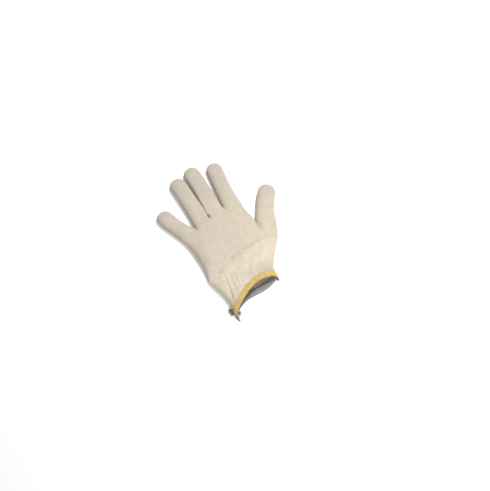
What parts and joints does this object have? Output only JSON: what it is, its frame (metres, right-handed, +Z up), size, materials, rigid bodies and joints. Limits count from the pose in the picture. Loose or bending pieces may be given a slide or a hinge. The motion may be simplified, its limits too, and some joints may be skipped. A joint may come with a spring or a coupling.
{
  "type": "cotton glove",
  "caption": "Seamless string-knit cotton work glove lying flat, with closed fingers and thumb, a gathered elastic cuff and an overlocked coloured hem round its open mouth.",
  "frame": {"origin": "on the table under the middle of the glove's bounding box", "axes": "+Y to the fingertips, +X to the thumb side, +Z up from the table"},
  "size_m": [0.18, 0.2592, 0.0205],
  "materials": {
    "cotton_knit": "matte natural cotton string knit",
    "cuff_knit": "matte elastic cotton knit",
    "hem_thread": "yellow overlock thread"
  },
  "bodies": {
    "root": {"palm": "cotton_knit", "little_finger": "cotton_knit", "ring_finger": "cotton_knit", "middle_finger": "cotton_knit", "index_finger": "cotton_knit", "thumb": "cotton_knit", "cuff": "cuff_knit", "hem": "hem_thread", "hem_tail": "hem_thread"}
  },
  "joints": []
}
